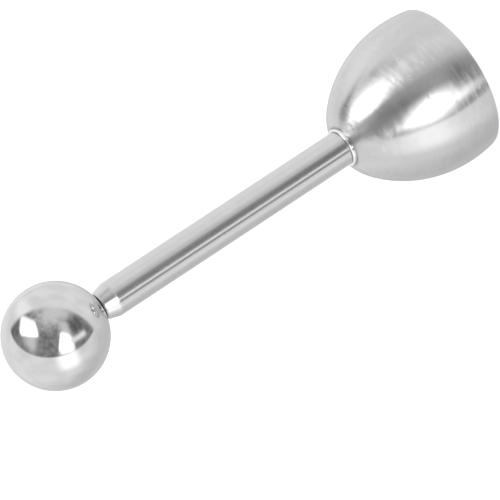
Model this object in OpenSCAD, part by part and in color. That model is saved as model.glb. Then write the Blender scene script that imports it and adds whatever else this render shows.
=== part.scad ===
// Egg topper with a spring plunger. The bell sits over the pointed end of an egg; the ball is pulled
// away from the handle and let go, and the hammer on its rod strikes the anvil above the bell.
// Millimetres. The handle stands on +Z, and the origin is the centre of the bell's rim.

/* [Bell] */
// Outer diameter of the bell at its widest
bell_d = 44.8; // [42:0.1:52]
// Height of the bell above its rim, if its nose ran on to the axis
bell_h = 37.8; // [34:0.1:44]
// Height of the widest point above the rim
bell_widest_z = 7; // [3:0.5:9]
// Radius of the arc that closes the dome
nose_r = 16.8; // [14:0.1:18]
// Thickness of the spun sheet
bell_wall = 0.9; // [0.6:0.05:1.4]
// Width of the flat edge that meets the shell
rim_land = 0.35; // [0.2:0.05:0.5]
// Height of the ground bevel inside the rim
rim_bevel_h = 1.2; // [0.6:0.1:2.4]
// Width of the crown's flat outside the collar
hub_margin = 0.1; // [0:0.05:0.5]

/* [Handle] */
// Outer diameter of the handle tube
tube_d = 10; // [10:0.1:11]
// Wall of the handle tube
tube_wall = 0.8; // [0.6:0.05:0.9]
// Length of the tube from the bell's crown to the end of the neck
tube_l = 84.7; // [82:0.1:120]
// Outer diameter of the neck under the ball
neck_d = 7.9; // [7.2:0.1:8.6]
// Length of the tapered part of the neck
neck_cone_h = 3.6; // [2.5:0.1:5]
// Length of the short straight lip at the end of the neck
neck_lip_h = 0.7; // [0.5:0.1:1.2]
// Bend radius where the tube turns into the taper
neck_bend_r = 3.5; // [1:0.5:4.5]
// Bore of the neck, which holds the guide bush
neck_bore_d = 5.6; // [5:0.1:6]
// How far the collar stands out round the foot of the tube
collar_lip = 0.7; // [0.4:0.05:0.8]
// Height of the collar
collar_h = 1; // [0.8:0.1:2]

/* [Bell fastening] */
// Length of the plug pressed into the foot of the tube
anvil_h = 8; // [7:0.5:9]
// Thread diameter of the bell screw
screw_d = 4; // [3:0.5:4]
// Length of the screw under its head
screw_l = 7; // [5:0.5:8]
// Diameter of the screw's domed head
screw_head_d = 7.4; // [6.8:0.1:8]
// Height of the screw's domed head
screw_head_h = 2.1; // [1.6:0.1:2.6]
// Width of each arm of the cross recess
recess_w = 1.0; // [0.8:0.1:1.4]
// Thickness of the split lock washer
lock_washer_t = 0.8; // [0.5:0.1:1.2]
// Slit in the lock washer
lock_washer_slit = 0.7; // [0.4:0.1:1.2]

/* [Plunger] */
// Diameter of the ball
ball_d = 29; // [26:0.1:34]
// Gap between the ball's flat and the neck with the hammer on the anvil
ball_gap = 0.3; // [0.2:0.05:0.6]
// Diameter of the flat turned on the ball round its threaded hole
spot_face_d = 8.4; // [8:0.1:10]
// Depth of the threaded hole in the ball, from its flat
ball_thread_l = 12; // [8:0.5:14]
// Diameter of the plunger rod
rod_d = 4; // [3.5:0.1:4.2]
// How deep the rod is screwed into the hammer
hammer_thread_l = 10; // [6:0.5:12]
// How far the ball can be pulled before the spring's coils close
pull_travel = 20; // [10:0.5:22]
// Width of the lock nut across its flats
nut_af = 7; // [6.4:0.1:7]
// Thickness of the lock nut
nut_h = 3.2; // [2:0.1:3.4]

/* [Return spring] */
// Wire diameter of the spring
spring_wire = 0.8; // [0.6:0.05:0.8]
// Turns of wire, with the two closed end turns
spring_turns = 22; // [14:1:22]
// Clear length left when the ball is fully out
spring_spare = 2; // [1:0.5:3]
// Thickness of the two washers that the spring bears on
seat_t = 0.5; // [0.3:0.1:0.6]

/* [Guide bush] */
// Length of the bush's body below the taper
bush_body_h = 3; // [2:0.5:4]
// How far the bush ends below the neck's end
bush_recess = 0.2; // [0.1:0.1:0.5]

/* [Clearances] */
// Radial running clearance of the rod in the bush
rod_clearance = 0.05; // [0.02:0.01:0.1]
// Radial running clearance of the hammer in the tube
hammer_clearance = 0.08; // [0.04:0.01:0.1]
// Radial clearance of the two spring washers in the tube
seat_clearance = 0.15; // [0.1:0.05:0.3]
// Radial clearance of holes that a screw or rod passes through freely
hole_clearance = 0.15; // [0.1:0.05:0.3]

/* [Hidden] */
$fn = 96;
past = 1;                       // how far a cut runs past the face it leaves by
ring_sides = 6;                 // sides of the spring wire's section
rings_per_turn = 12;            // sections of the spring wire in each turn
closed_turn_gap = 0.45;         // gap between the wires of a closed end turn

// Bell: the flank is an arc about flank_c and the nose an arc about nose_c, tangent to each other.
bell_r = bell_d / 2;
rise = bell_h - bell_widest_z;
flank_r = (bell_r ^ 2 + rise ^ 2 - 2 * nose_r * rise) / (2 * (bell_r - nose_r));
flank_c = [bell_r - flank_r, bell_widest_z];
nose_c = [0, bell_h - nose_r];
tangent = (nose_c - flank_c) / norm(nose_c - flank_c);
rim_r = flank_c[0] + sqrt(flank_r ^ 2 - bell_widest_z ^ 2);
hub_r = tube_d / 2 + collar_lip + hub_margin;
crown_z = nose_c[1] + sqrt(nose_r ^ 2 - hub_r ^ 2);

// Handle
tube_r = tube_d / 2;
bore_r = tube_r - tube_wall;
neck_r = neck_d / 2;
neck_bore_r = neck_bore_d / 2;
neck_end_z = crown_z + tube_l;
lip_z = neck_end_z - neck_lip_h;
cone_z = lip_z - neck_cone_h;
cone_angle = atan((tube_r - neck_r) / neck_cone_h);
bend_z = cone_z - neck_bend_r * tan(cone_angle / 2);
inner_drop = tube_wall * tan(cone_angle / 2);
inner_cone_z = cone_z - inner_drop;
inner_cone_top = inner_cone_z + (bore_r - neck_bore_r) / tan(cone_angle);
neck_wall_top = min(inner_cone_top, neck_end_z - neck_lip_h);

// Guide bush and upper spring seat
bush_z = inner_cone_z - bush_body_h;
bush_top = neck_end_z - bush_recess;
upper_seat_z = bush_z - seat_t;

// Spring
spring_l = spring_turns * spring_wire + pull_travel + spring_spare;
spring_z = upper_seat_z - spring_l;
spring_coil_r = (rod_d / 2 + bore_r) / 2;

// Plunger
lower_seat_z = spring_z - seat_t;
nut_z = lower_seat_z - nut_h;
anvil_z = crown_z + anvil_h;
hammer_r = bore_r - hammer_clearance;
seat_r = bore_r - seat_clearance;
rod_r = rod_d / 2;
ball_r = ball_d / 2;
ball_flat_z = neck_end_z + ball_gap;
ball_c = ball_flat_z + sqrt(ball_r ^ 2 - (spot_face_d / 2) ^ 2);
rod_z = nut_z - hammer_thread_l;
rod_top = ball_flat_z + ball_thread_l;

// Bell screw, driven up through the crown into the anvil plug
screw_r = screw_d / 2;
crown_under_z = crown_z - bell_wall;
washer_under_z = crown_under_z - lock_washer_t;
screw_top = washer_under_z + screw_l;
head_ball_r = ((screw_head_d / 2) ^ 2 + screw_head_h ^ 2) / (2 * screw_head_h);

STEEL_SATIN = [0.72, 0.72, 0.73];
STEEL_BRIGHT = [0.80, 0.80, 0.81];
STEEL_MIRROR = [0.86, 0.86, 0.87];
BRASS = [0.80, 0.65, 0.36];
SPRING_STEEL = [0.55, 0.56, 0.58];

// The dome's half section, drawn in by inset on every side but the rim.
module dome_section(inset) {
    seam = nose_c + (nose_r - inset) * tangent;
    intersection() {
        translate(flank_c) rotate(180) circle(r = flank_r - inset, $fn = 256);
        square([bell_r, seam[1]]);
    }
    intersection() {
        translate(nose_c) rotate(180) circle(r = nose_r - inset, $fn = 256);
        translate([0, seam[1]]) square([bell_r, crown_z - inset - seam[1]]);
    }
}

module ring(outer_r, inner_r, h) {
    difference() {
        cylinder(r = outer_r, h = h);
        translate([0, 0, -past]) cylinder(r = inner_r, h = h + 2 * past);
    }
}

// Spun shell, with a flat for the handle, a hole for the screw and a bevel ground inside the rim.
module bell() {
    color(STEEL_SATIN)
    difference() {
        rotate_extrude($fn = 256) dome_section(0);
        rotate_extrude($fn = 256) {
            dome_section(bell_wall);
            translate([0, -past]) square([rim_r - bell_wall, past]);
        }
        bevel_r = rim_r - rim_land;
        bevel_run = bell_wall - rim_land;
        cylinder(r1 = bevel_r, r2 = bevel_r - bevel_run, h = rim_bevel_h, $fn = 256);
        translate([0, 0, crown_under_z - past])
            cylinder(r = screw_r + hole_clearance, h = bell_wall + 2 * past);
    }
}

// Round-edged ring that hides the joint between the tube and the crown.
module bell_collar() {
    round_r = min(collar_lip, collar_h) / 2;
    color(STEEL_MIRROR)
    translate([0, 0, crown_z])
    rotate_extrude() {
        translate([tube_r, 0]) square([collar_lip - round_r, collar_h]);
        translate([tube_r, 0]) square([collar_lip, collar_h - round_r]);
        translate([tube_r + collar_lip - round_r, collar_h - round_r]) circle(r = round_r);
    }
}

// Drawn tube, swaged at the top into a tapered neck with a short lip. Heights run down from its end.
module handle_tube() {
    bend = bend_z - neck_end_z;
    bend_c = [tube_r - neck_bend_r, bend];
    bend_end = bend_c + neck_bend_r * [cos(cone_angle), sin(cone_angle)];
    reach = 2 * neck_bend_r;
    color(STEEL_BRIGHT)
    translate([0, 0, neck_end_z])
    difference() {
        rotate_extrude() {
            polygon([
                [0, -tube_l],
                [tube_r, -tube_l],
                [tube_r, bend],
                bend_end,
                [neck_r, -neck_lip_h],
                [neck_r, 0],
                [0, 0],
            ]);
            intersection() {
                translate(bend_c) circle(r = neck_bend_r);
                polygon([
                    bend_c,
                    bend_c + [reach, 0],
                    bend_c + reach * [cos(cone_angle), sin(cone_angle)],
                ]);
            }
        }
        rotate_extrude()
        polygon([
            [0, -tube_l - past],
            [bore_r, -tube_l - past],
            [bore_r, inner_cone_z - neck_end_z],
            [neck_bore_r, neck_wall_top - neck_end_z],
            [neck_bore_r, past],
            [0, past],
        ]);
    }
}

// Steel slug in the foot of the tube: the hammer strikes its top and the screw holds its foot.
module anvil_plug() {
    color(SPRING_STEEL)
    translate([0, 0, crown_z])
    difference() {
        cylinder(r = bore_r, h = anvil_h);
        translate([0, 0, -past]) cylinder(r = screw_r, h = screw_top - crown_z + past);
    }
}

// Domed head with a cross recess, and the shank that is screwed into the anvil plug.
module bell_screw() {
    recess_l = 0.62 * screw_head_d;
    recess_h = 0.6 * screw_head_h;
    color(STEEL_BRIGHT)
    union() {
        translate([0, 0, washer_under_z]) cylinder(r = screw_r, h = screw_l);
        difference() {
            intersection() {
                translate([0, 0, washer_under_z - screw_head_h + head_ball_r]) sphere(r = head_ball_r);
                translate([0, 0, washer_under_z - screw_head_h])
                    cylinder(r = screw_head_d / 2, h = screw_head_h);
            }
            for (turn = [0, 90])
                rotate([0, 0, turn])
                translate([-recess_l / 2, -recess_w / 2, washer_under_z - screw_head_h - past])
                    cube([recess_l, recess_w, recess_h + past]);
        }
    }
}

module lock_washer() {
    outer_r = screw_head_d / 2 - hole_clearance;
    color(SPRING_STEEL)
    translate([0, 0, washer_under_z])
    difference() {
        ring(outer_r, screw_r + hole_clearance, lock_washer_t);
        translate([0, -lock_washer_slit / 2, -past])
            cube([outer_r + past, lock_washer_slit, lock_washer_t + 2 * past]);
    }
}

// Turned bush, trapped under the taper by the spring. The rod runs in it.
module guide_bush() {
    color(BRASS)
    difference() {
        rotate_extrude()
        polygon([
            [0, bush_z],
            [bore_r, bush_z],
            [bore_r, inner_cone_z],
            [neck_bore_r, neck_wall_top],
            [neck_bore_r, bush_top],
            [0, bush_top],
        ]);
        translate([0, 0, bush_z - past])
            cylinder(r = rod_r + rod_clearance, h = bush_top - bush_z + 2 * past);
    }
}

module spring_seat(z) {
    translate([0, 0, z]) ring(seat_r, rod_r + hole_clearance, seat_t);
}

// Height of the wire's centre after so many turns: low in the two closed end turns, even between.
function wire_height(turn) =
    let (
        closed_pitch = spring_wire + closed_turn_gap,
        open_turns = spring_turns - 2,
        open_rise = spring_l - spring_wire - 2 * closed_pitch,
        along = min(max(turn - 1, 0), open_turns)
    )
    spring_wire / 2 + closed_pitch * (min(turn, 1) + max(turn - 1 - open_turns, 0))
        + open_rise * along / open_turns;

// Compression spring as one tube of triangles. Each ring is a slice of the wire.
module return_spring() {
    steps = spring_turns * rings_per_turn;
    wire_r = spring_wire / 2;
    centres = [
        for (i = [0:steps]) let (turn = i / rings_per_turn)
            [spring_coil_r * cos(360 * turn), spring_coil_r * sin(360 * turn), wire_height(turn)],
    ];
    points = [
        for (i = [0:steps], k = [0:ring_sides - 1]) let (
            turn = i / rings_per_turn,
            side = 360 * (k + 0.5) / ring_sides,
            r = spring_coil_r + wire_r * cos(side)
        ) [r * cos(360 * turn), r * sin(360 * turn), wire_height(turn) + wire_r * sin(side)],
    ];
    last = steps * ring_sides;
    sides = [
        for (i = [0:steps - 1], k = [0:ring_sides - 1]) let (
            j = (k + 1) % ring_sides,
            low = i * ring_sides,
            high = low + ring_sides
        ) each [[low + k, low + j, high + k], [low + j, high + j, high + k]],
    ];
    ends = [
        for (k = [1:ring_sides - 2]) each [[0, k + 1, k], [last, last + k, last + k + 1]],
    ];
    turn_gaps = [
        for (i = [rings_per_turn:steps], j = [-2:2])
            if (i - rings_per_turn + j >= 0)
                norm(centres[i] - centres[i - rings_per_turn + j]) - spring_wire,
    ];
    echo(least_gap_between_turns = min(turn_gaps));
    color(SPRING_STEEL)
    translate([0, 0, spring_z])
        polyhedron(points = points, faces = concat(sides, ends), convexity = 10);
}

// Steel slug that carries the rod and strikes the anvil.
module hammer() {
    chamfer = 0.5;
    color(SPRING_STEEL)
    difference() {
        union() {
            translate([0, 0, anvil_z]) cylinder(r1 = hammer_r - chamfer, r2 = hammer_r, h = chamfer);
            translate([0, 0, anvil_z + chamfer])
                cylinder(r = hammer_r, h = nut_z - anvil_z - 2 * chamfer);
            translate([0, 0, nut_z - chamfer]) cylinder(r1 = hammer_r, r2 = hammer_r - chamfer, h = chamfer);
        }
        translate([0, 0, rod_z]) cylinder(r = rod_r, h = hammer_thread_l + past);
    }
}

module hammer_lock_nut() {
    color(SPRING_STEEL)
    translate([0, 0, nut_z])
    difference() {
        cylinder(r = nut_af / 2 / cos(30), h = nut_h, $fn = 6);
        translate([0, 0, -past]) cylinder(r = rod_r, h = nut_h + 2 * past);
    }
}

module plunger_rod() {
    color(STEEL_BRIGHT)
    translate([0, 0, rod_z]) cylinder(r = rod_r, h = rod_top - rod_z);
}

// Solid ball, turned flat round the blind hole that takes the rod.
module ball() {
    color(STEEL_MIRROR)
    difference() {
        translate([0, 0, ball_c]) sphere(r = ball_r, $fn = 128);
        translate([0, 0, ball_flat_z - ball_r]) cylinder(r = ball_r, h = ball_r);
        translate([0, 0, ball_flat_z - past]) cylinder(r = rod_r, h = ball_thread_l + past);
    }
}

bell();
bell_collar();
handle_tube();
anvil_plug();
bell_screw();
lock_washer();
guide_bush();
color(SPRING_STEEL) spring_seat(upper_seat_z);  // upper_spring_seat
return_spring();
color(SPRING_STEEL) spring_seat(lower_seat_z);  // lower_spring_seat
hammer();
hammer_lock_nut();
plunger_rod();
ball();
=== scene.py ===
import math

import bpy
from bpy.props import FloatProperty, FloatVectorProperty, IntProperty, PointerProperty
from mathutils import Matrix, Vector


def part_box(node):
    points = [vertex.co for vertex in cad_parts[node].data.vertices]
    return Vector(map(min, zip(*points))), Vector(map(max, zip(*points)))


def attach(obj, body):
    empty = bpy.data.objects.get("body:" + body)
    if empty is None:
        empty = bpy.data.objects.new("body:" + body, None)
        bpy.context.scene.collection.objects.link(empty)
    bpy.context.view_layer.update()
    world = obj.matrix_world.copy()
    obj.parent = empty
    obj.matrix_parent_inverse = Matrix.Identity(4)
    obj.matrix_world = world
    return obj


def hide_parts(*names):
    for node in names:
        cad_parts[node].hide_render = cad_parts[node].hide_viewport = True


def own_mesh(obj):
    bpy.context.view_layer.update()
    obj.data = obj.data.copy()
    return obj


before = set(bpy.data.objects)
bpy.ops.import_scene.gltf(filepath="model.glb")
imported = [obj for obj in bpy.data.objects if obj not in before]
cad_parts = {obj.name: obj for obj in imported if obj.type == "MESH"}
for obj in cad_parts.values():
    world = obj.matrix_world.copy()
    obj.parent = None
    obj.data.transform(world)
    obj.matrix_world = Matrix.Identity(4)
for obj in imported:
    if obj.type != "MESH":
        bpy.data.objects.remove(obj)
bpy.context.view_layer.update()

bl_info = {
    "name": "Egg topper",
    "version": (1, 0, 0),
    "blender": (4, 5, 0),
    "location": "View3D > Sidebar > Topper",
    "description": "Dresses the packed egg topper: spun bell, swaged tube, plunger, ball and a plain studio",
    "category": "Object",
}

MM = 0.001


# ---------------------------------------------------------------- turned shapes
#
# A turned piece is a half section in (r, z), gone round with the open air on the right hand. Each
# run is a list of (r, z, nr, nz): a point of the section and the exact normal there.


def straight(start, end, steps=1):
    """A straight run from start to end."""
    (r0, z0), (r1, z1) = start, end
    length = math.hypot(r1 - r0, z1 - z0)
    normal = ((z1 - z0) / length, -(r1 - r0) / length)
    return [
        (r0 + (r1 - r0) * i / steps, z0 + (z1 - z0) * i / steps, *normal)
        for i in range(steps + 1)
    ]


def sweep(centre, radius, start, end, steps):
    """An arc from the angle start to end. Its normals point out of the circle where the angle grows."""
    side = 1 if end > start else -1
    points = []
    for i in range(steps + 1):
        a = start + (end - start) * i / steps
        c, s = math.cos(a), math.sin(a)
        points.append((centre[0] + radius * c, centre[1] + radius * s, side * c, side * s))
    return points


def ease(before, after, radius, steps=4):
    """Trims two runs that meet at an edge and returns them with the small round between them."""
    n1, n2 = Vector(before[-1][2:]), Vector(after[0][2:])
    corner = Vector(before[-1][:2])
    t1, t2 = Vector((-n1.y, n1.x)), Vector((-n2.y, n2.x))
    turn = math.atan2(t1.x * t2.y - t1.y * t2.x, t1.dot(t2))
    trim = radius * math.tan(abs(turn) / 2)
    side = 1 if turn > 0 else -1
    centre = corner - side * radius * (n1 + n2) / (1 + n1.dot(n2))
    start = math.atan2(n1.y, n1.x)
    arc = []
    for i in range(steps + 1):
        a = start + turn * i / steps
        n = Vector((math.cos(a), math.sin(a)))
        p = centre + side * radius * n
        arc.append((p.x, p.y, n.x, n.y))
    kept_before = [p for p in before if (Vector(p[:2]) - corner).length > trim * 1.001]
    kept_after = [p for p in after if (Vector(p[:2]) - corner).length > trim * 1.001]
    return kept_before, arc, kept_after


def section(runs, rounds):
    """Joins runs end to end.

    rounds[i] is the radius between run i and the next, or 0 for a smooth or sharp join.
    """
    runs = [list(run) for run in runs]
    joins = []
    for i, radius in enumerate(rounds):
        j = (i + 1) % len(runs)
        if radius:
            runs[i], arc, runs[j] = ease(runs[i], runs[j], radius)
            joins.append(arc)
        else:
            joins.append([])
    path = []
    for i, run in enumerate(runs):
        path += run
        if i < len(joins):
            path += joins[i]
    return path


def turned(name, path, sides, closed):
    """Turns a half section about Z into a mesh whose corner normals are the section's own."""
    places, ring_of, normals = [], [], []
    for r, z, nr, nz in path:
        same = places and abs(places[-1][0] - r) < 1e-8 and abs(places[-1][1] - z) < 1e-8
        if not same:
            places.append((r, z))
        ring_of.append(len(places) - 1)
        normals.append((nr, nz))
    if closed and abs(places[-1][0] - places[0][0]) < 1e-8 and abs(places[-1][1] - places[0][1]) < 1e-8:
        places.pop()
        ring_of = [i if i < len(places) else 0 for i in ring_of]
    spokes = [(math.cos(math.tau * k / sides), math.sin(math.tau * k / sides)) for k in range(sides)]
    verts, first = [], []
    for r, z in places:
        first.append(len(verts))
        if r < 1e-9:
            verts.append((0.0, 0.0, z))
        else:
            verts += [(r * c, r * s, z) for c, s in spokes]

    def vertex(ring, k):
        return first[ring] + (0 if places[ring][0] < 1e-9 else k % sides)

    def leaning(normal, k):
        c, s = spokes[k % sides]
        return (normal[0] * c, normal[0] * s, normal[1])

    faces, corner_normals = [], []
    count = len(path)
    for i in range(count if closed else count - 1):
        j = (i + 1) % count
        a, b = ring_of[i], ring_of[j]
        if a == b:
            continue
        na, nb = normals[i], normals[j]
        for k in range(sides):
            if places[a][0] < 1e-9:
                faces.append((vertex(a, 0), vertex(b, k + 1), vertex(b, k)))
                corner_normals += [(0.0, 0.0, na[1]), leaning(nb, k + 1), leaning(nb, k)]
            elif places[b][0] < 1e-9:
                faces.append((vertex(a, k), vertex(a, k + 1), vertex(b, 0)))
                corner_normals += [leaning(na, k), leaning(na, k + 1), (0.0, 0.0, nb[1])]
            else:
                faces.append((vertex(a, k), vertex(a, k + 1), vertex(b, k + 1), vertex(b, k)))
                corner_normals += [leaning(na, k), leaning(na, k + 1), leaning(nb, k + 1), leaning(nb, k)]
    return piece(name, verts, faces, corner_normals)


def piece(name, verts, faces, corner_normals=None):
    """A mesh object of these faces, smooth, in the scene's collection."""
    mesh = bpy.data.meshes.new(name)
    mesh.from_pydata(verts, [], faces)
    mesh.polygons.foreach_set("use_smooth", [True] * len(mesh.polygons))
    if corner_normals:
        mesh.normals_split_custom_set(corner_normals)
    mesh.update()
    made = bpy.data.objects.new(name, mesh)
    bpy.context.scene.collection.objects.link(made)
    return made


def swept(name, sections):
    """Joins closed sections of equal count into a skin, with a flat cap on each end."""
    count = len(sections[0])
    verts = [tuple(p) for ring in sections for p in ring]
    faces = []
    for i in range(len(sections) - 1):
        a, b = i * count, (i + 1) * count
        for k in range(count):
            m = (k + 1) % count
            faces.append((a + k, a + m, b + m, b + k))
    last = (len(sections) - 1) * count
    faces.append(tuple(reversed(range(count))))
    faces.append(tuple(range(last, last + count)))
    return piece(name, verts, faces)


def net(reach, cells, height):
    """A square net at the height of each place, with the vertices of its edge in order round it."""
    verts, faces, index = [], [], {}
    for i in range(cells + 1):
        for j in range(cells + 1):
            x, y = (2 * i / cells - 1) * reach, (2 * j / cells - 1) * reach
            index[i, j] = len(verts)
            verts.append((x, y, height(x, y)))
    for i in range(cells):
        for j in range(cells):
            faces.append((index[i, j], index[i, j + 1], index[i + 1, j + 1], index[i + 1, j]))
    edge = [index[i, 0] for i in range(cells)] + [index[cells, j] for j in range(cells)]
    edge += [index[i, cells] for i in range(cells, 0, -1)] + [index[0, j] for j in range(cells, 0, -1)]
    return verts, faces, edge


class Skin:
    """A skin about Z that grows ring by ring from a closed edge of vertices."""

    def __init__(self, verts, faces, edge):
        self.verts, self.faces, self.last = verts, faces, edge
        self.around = [math.atan2(verts[k][1], verts[k][0]) for k in edge]
        self.radii = [math.hypot(verts[k][0], verts[k][1]) for k in edge]

    def ring(self, radii, heights):
        """Adds a ring of vertices, and the faces that join it to the ring before."""
        new = list(range(len(self.verts), len(self.verts) + len(self.last)))
        for r, z, a in zip(radii, heights, self.around):
            self.verts.append((r * math.cos(a), r * math.sin(a), z))
        for k in range(len(new)):
            m = (k + 1) % len(new)
            self.faces.append((self.last[m], new[m], new[k], self.last[k]))
        self.last = new

    def circle(self, r, z):
        self.ring([r] * len(self.last), [z] * len(self.last))

    def finished(self, name):
        """The piece, with a flat cap on the last ring."""
        self.faces.append(tuple(self.last))
        return piece(name, self.verts, self.faces)


def sharpen(made, degrees):
    """Marks edges that turn by more than this as sharp, so flats stay flat beside rounds."""
    made.data.set_sharp_from_angle(angle=math.radians(degrees))


# ---------------------------------------------------------------- shader helpers


def add(tree, kind, **inputs):
    """A node of this kind, with constants set on the inputs that are named."""
    node = tree.nodes.new(kind)
    for key, value in inputs.items():
        node.inputs[key.replace("_", " ")].default_value = value
    return node


def plug(tree, value, socket):
    """Links an output to a socket, or sets a constant on it."""
    if isinstance(value, bpy.types.NodeSocket):
        tree.links.new(value, socket)
    else:
        socket.default_value = value


def sums(tree, operation, a, b=None, c=None, clamp=False):
    """Output of one sum on numbers."""
    node = tree.nodes.new("ShaderNodeMath")
    node.operation = operation
    node.use_clamp = clamp
    for socket, value in zip(node.inputs, (a, b, c)):
        if value is not None:
            plug(tree, value, socket)
    return node.outputs[0]


def vectors(tree, operation, a, b=None, output="Vector"):
    """Output of one sum on vectors."""
    node = tree.nodes.new("ShaderNodeVectorMath")
    node.operation = operation
    for socket, value in zip(node.inputs, (a, b)):
        if value is not None:
            plug(tree, value, socket)
    return node.outputs[output]


def dotted(tree, vector, constant):
    return vectors(tree, "DOT_PRODUCT", vector, constant, output="Value")


def split(tree, vector):
    """Outputs X, Y and Z of a vector."""
    node = tree.nodes.new("ShaderNodeSeparateXYZ")
    plug(tree, vector, node.inputs[0])
    return node.outputs


def noise(tree, vector, **inputs):
    """Noise at a vector. W, where it is given, is a fourth coordinate."""
    node = tree.nodes.new("ShaderNodeTexNoise")
    node.noise_dimensions = "4D" if "W" in inputs else "3D"
    plug(tree, vector, node.inputs["Vector"])
    for key, value in inputs.items():
        plug(tree, value, node.inputs[key])
    return node.outputs[0]


def fade(tree, value, low, high, start=0.0, end=1.0, smooth=True):
    """Maps value from low..high onto start..end, held at both ends."""
    node = tree.nodes.new("ShaderNodeMapRange")
    node.interpolation_type = "SMOOTHSTEP" if smooth else "LINEAR"
    node.clamp = True
    names = ("Value", "From Min", "From Max", "To Min", "To Max")
    for name, given_value in zip(names, (value, low, high, start, end)):
        plug(tree, given_value, node.inputs[name])
    return node.outputs["Result"]


def mixed(tree, data_type, first, factor, a, b):
    """Output of a Mix node, whose two values for this kind of data start at socket first."""
    node = tree.nodes.new("ShaderNodeMix")
    node.data_type = data_type
    plug(tree, factor, node.inputs[0])
    plug(tree, a, node.inputs[first])
    plug(tree, b, node.inputs[first + 1])
    return node


def between(tree, factor, a, b):
    """Value from a to b by factor."""
    return mixed(tree, "FLOAT", 2, factor, a, b).outputs[0]


def tint(tree, factor, a, b):
    """Colour from a to b by factor."""
    return mixed(tree, "RGBA", 6, factor, a, b).outputs[2]


def rgba(colour, scale=1.0):
    return (colour[0] * scale, colour[1] * scale, colour[2] * scale, 1.0)


def new_group(name, inputs, outputs):
    """An empty shader node group: inputs are (name, default), outputs are names of values."""
    tree = bpy.data.node_groups.new(name, "ShaderNodeTree")
    for label, default in inputs:
        kind = "NodeSocketVector" if isinstance(default, tuple) else "NodeSocketFloat"
        socket = tree.interface.new_socket(name=label, in_out="INPUT", socket_type=kind)
        socket.default_value = default
    for label in outputs:
        tree.interface.new_socket(name=label, in_out="OUTPUT", socket_type="NodeSocketFloat")
    return tree, tree.nodes.new("NodeGroupInput").outputs, tree.nodes.new("NodeGroupOutput").inputs


def use_group(tree, name, **inputs):
    """A placed node group, with its inputs set or linked."""
    node = tree.nodes.new("ShaderNodeGroup")
    node.node_tree = bpy.data.node_groups[name]
    for key, value in inputs.items():
        plug(tree, value, node.inputs[key.replace("_", " ")])
    return node


# ---------------------------------------------------------------- effects shared by the finishes


def place_on_piece(tree):
    """Where a point lies in its piece's own frame, in metres."""
    return tree.nodes.new("ShaderNodeTexCoord").outputs["Object"]


def make_grain_group():
    """Fine polishing lines. Rings per mm run round Z, and Lines per turn run along it."""
    tree, given, out = new_group(
        "polishing_grain",
        [("Rings per mm", 2.0), ("Lines per turn", 3.0), ("Seed", 0.0)],
        ["Grain"],
    )
    place = place_on_piece(tree)
    flat = vectors(tree, "MULTIPLY", place, (1.0, 1.0, 0.0))
    reach = vectors(tree, "LENGTH", flat, output="Value")
    spoke = split(tree, vectors(tree, "NORMALIZE", flat))
    per_metre = sums(tree, "MULTIPLY", given["Rings per mm"], 1 / MM)
    along = tree.nodes.new("ShaderNodeCombineXYZ")
    ring_z = sums(tree, "MULTIPLY", split(tree, place)["Z"], per_metre)
    plug(tree, sums(tree, "MULTIPLY", reach, per_metre), along.inputs["X"])
    plug(tree, sums(tree, "ADD", ring_z, given["Seed"]), along.inputs["Y"])
    plug(tree, sums(tree, "MULTIPLY", spoke["X"], given["Lines per turn"]), along.inputs["Z"])
    round_y = sums(tree, "MULTIPLY", spoke["Y"], given["Lines per turn"])
    lines = noise(tree, along.outputs[0], W=round_y, Scale=1.0, Detail=3.0, Roughness=0.55)
    plug(tree, fade(tree, lines, 0.28, 0.72, smooth=False), out["Grain"])


def make_handling_group():
    """Cloudy smudges from hands and cloths, and a few hairline scratches that cross each other."""
    tree, given, out = new_group(
        "handling_marks",
        [("Cloud size", 0.012), ("Scratch spread", 0.004), ("Seed", 0.0)],
        ["Smudge", "Scratch"],
    )
    place = place_on_piece(tree)
    cloud_scale = sums(tree, "DIVIDE", 1.0, given["Cloud size"])
    cloud = noise(
        tree, place, W=given["Seed"], Scale=cloud_scale, Detail=4.0, Roughness=0.55, Distortion=0.4)
    plug(tree, fade(tree, cloud, 0.33, 0.67), out["Smudge"])
    line_scale = sums(tree, "DIVIDE", 1.0, given["Scratch spread"])
    patch_scale = sums(tree, "DIVIDE", 0.7, given["Scratch spread"])
    scratches = 0.0
    for k, (lean, turn) in enumerate(((0.35, 0.4), (1.15, 2.3), (2.2, 4.4))):
        turned_round = tree.nodes.new("ShaderNodeMapping")
        turned_round.vector_type = "TEXTURE"
        plug(tree, place, turned_round.inputs["Vector"])
        turned_round.inputs["Rotation"].default_value = (lean, turn, 0.7 * k)
        drawn_out = vectors(tree, "MULTIPLY", turned_round.outputs[0], (1.0, 0.09, 0.6))
        line_seed = sums(tree, "ADD", given["Seed"], 7.0 + k)
        line = noise(tree, drawn_out, W=line_seed, Scale=line_scale, Detail=1.0)
        off_line = sums(tree, "ABSOLUTE", sums(tree, "SUBTRACT", line, 0.5))
        patch_seed = sums(tree, "ADD", given["Seed"], 31.0 + k)
        patch = noise(tree, place, W=patch_seed, Scale=patch_scale, Detail=0.0)
        thin = fade(tree, off_line, 0.0, 0.012, 1.0, 0.0)
        hairline = sums(tree, "MULTIPLY", thin, fade(tree, patch, 0.56, 0.68))
        scratches = sums(tree, "MAXIMUM", hairline, scratches)
    plug(tree, scratches, out["Scratch"])


def make_band_group():
    """A soft band across Z: 1 at Height, falling to 0 at Reach on both sides."""
    tree, given, out = new_group("height_band", [("Height", 0.0), ("Reach", 0.001)], ["Band"])
    height = split(tree, place_on_piece(tree))["Z"]
    off = sums(tree, "ABSOLUTE", sums(tree, "SUBTRACT", height, given["Height"]))
    share = sums(tree, "DIVIDE", off, given["Reach"])
    plug(tree, fade(tree, share, 0.0, 1.0, 1.0, 0.0), out["Band"])


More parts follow.
